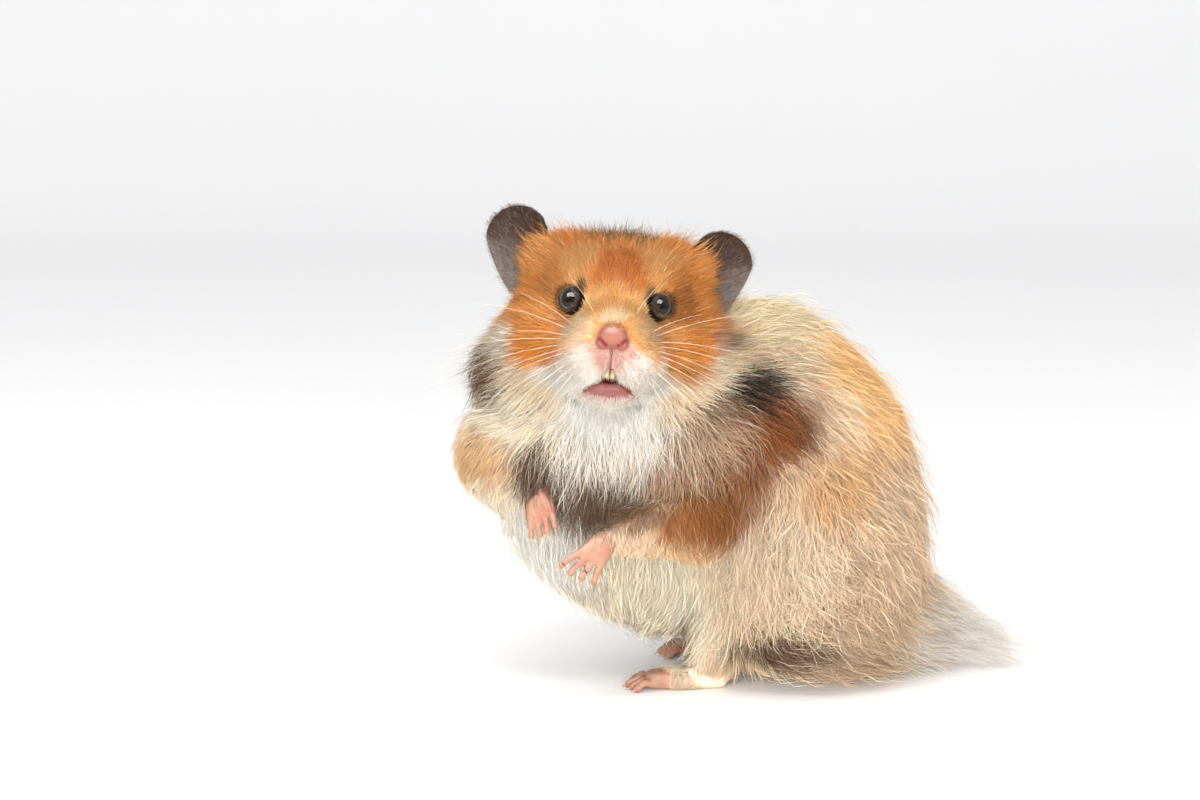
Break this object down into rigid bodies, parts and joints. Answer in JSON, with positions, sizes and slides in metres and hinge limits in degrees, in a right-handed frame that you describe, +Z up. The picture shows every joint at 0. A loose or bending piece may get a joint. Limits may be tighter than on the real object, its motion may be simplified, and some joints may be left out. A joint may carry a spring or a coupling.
{
  "type": "syrian hamster",
  "caption": "Life-size still figure of a long-haired golden hamster, half risen on its hind legs with forepaws lifted and head turned to the viewer.",
  "frame": {"origin": "middle of the footprint box, on the floor", "axes": "+Z up, -X the way the hips point, -Y the animal's left side, which is also the way its face looks"},
  "size_m": [0.123, 0.0732, 0.0989],
  "materials": {
    "coat_gold": "long soft fur, rust and orange gold",
    "coat_fawn": "long soft fur, golden fawn",
    "coat_cream": "long silky fur, cream to grey fawn",
    "coat_white": "soft white fur",
    "coat_sable": "soft fur, grey brown and sable",
    "bare_skin": "bare pink skin of nose, lips and paws",
    "ear_skin": "thin dark skin with fine pale hairs",
    "eye": "wet black eye",
    "incisor": "yellow enamel",
    "claw": "pale translucent horn",
    "whisker": "stiff pale hair"
  },
  "bodies": {
    "root": {"head": "coat_gold", "nose": "bare_skin", "incisors": "incisor", "eye_left": "eye", "ear_left": "ear_skin", "eye_right": "eye", "ear_right": "ear_skin", "forepaw_left": "bare_skin", "hind_foot_left": "bare_skin", "forepaw_right": "bare_skin", "hind_foot_right": "bare_skin", "foreleg_left": "coat_sable", "foreleg_right": "coat_sable", "tail": "coat_cream", "hind_leg_left": "coat_cream", "hind_leg_right": "coat_cream", "neck": "coat_fawn", "chest": "coat_white", "trunk": "coat_cream", "rump": "coat_fawn"}
  },
  "joints": []
}
